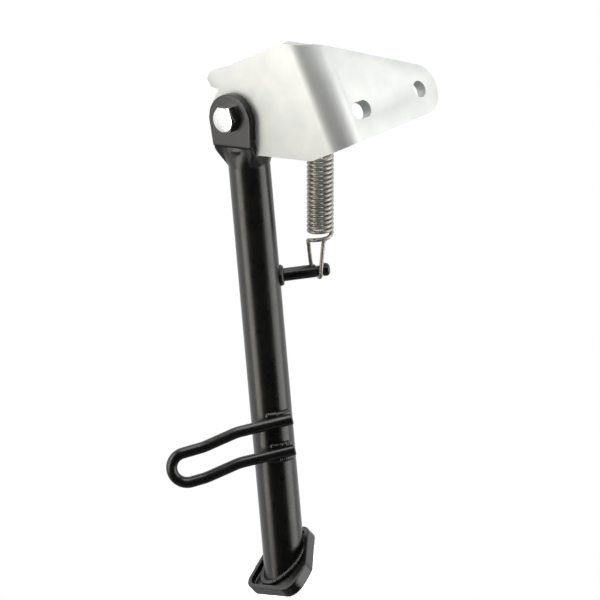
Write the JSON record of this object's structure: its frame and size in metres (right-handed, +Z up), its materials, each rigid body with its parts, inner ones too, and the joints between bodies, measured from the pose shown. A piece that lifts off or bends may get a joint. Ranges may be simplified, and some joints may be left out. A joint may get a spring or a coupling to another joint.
{
  "type": "motorcycle kickstand",
  "caption": "Folding side stand: bent steel mounting bracket, black tube leg with dished foot and kick loop, hex pivot bolt and coil return spring.",
  "frame": {"origin": "centre of the round mounting hole, on the bracket's mounting face", "axes": "+X leaves the mounting face along the hole, +Y runs back from the pivot plate along the flange, +Z is up along the bend, away from the foot"},
  "size_m": [0.1735, 0.1251, 0.2726],
  "materials": {
    "zinc_plate": "satin",
    "black_paint": "gloss",
    "zinc_fastener": "bright",
    "spring_wire": "satin",
    "bush_steel": "satin",
    "nylon": "matte"
  },
  "bodies": {
    "bracket": {"mounting_plate": "zinc_plate", "pivot_bush": "bush_steel", "spring_anchor": "zinc_plate", "anchor_weld": "zinc_plate"},
    "leg": {"fork": "black_paint", "leg_tube": "black_paint", "foot_plate": "black_paint", "foot_weld": "black_paint", "kick_loop": "black_paint", "loop_weld_upper": "black_paint", "loop_weld_lower": "black_paint", "spring_post": "black_paint", "post_weld": "black_paint", "pivot_bolt": "zinc_fastener", "pivot_washer": "zinc_fastener", "pivot_nut": "zinc_fastener", "nut_insert": "nylon"},
    "spring_upper": {"upper_hook": "spring_wire", "spring_coil": "spring_wire"},
    "spring_lower": {"lower_hook": "spring_wire"}
  },
  "joints": [
    {"name": "leg_swing", "type": "hinge", "parent": "bracket", "child": "leg", "pos_m": [-0.0647, -0.0669, 0.0209], "axis": [0, 1, 0], "range_deg": [0, 105], "stiffness_Nm_per_rad": 0.6, "springref_deg": -57.3},
    {"name": "spring_turn", "type": "hinge", "parent": "bracket", "child": "spring_upper", "pos_m": [-0.0408, -0.03686, 0.0011], "axis": [0, 1, 0], "range_deg": [0, 89.79], "deforming": ["upper_hook", "spring_coil"]},
    {"name": "spring_stretch", "type": "slide", "parent": "spring_upper", "child": "spring_lower", "axis": [-0.4633, 0, -0.8862], "range_m": [0, 0.04176], "deforming": ["lower_hook"]}
  ],
  "couplings": [
    {"joint": "spring_turn", "follows": "leg_swing", "ratio": 0.85497},
    {"joint": "spring_stretch", "follows": "leg_swing", "m_per_rad": 0.022777}
  ]
}
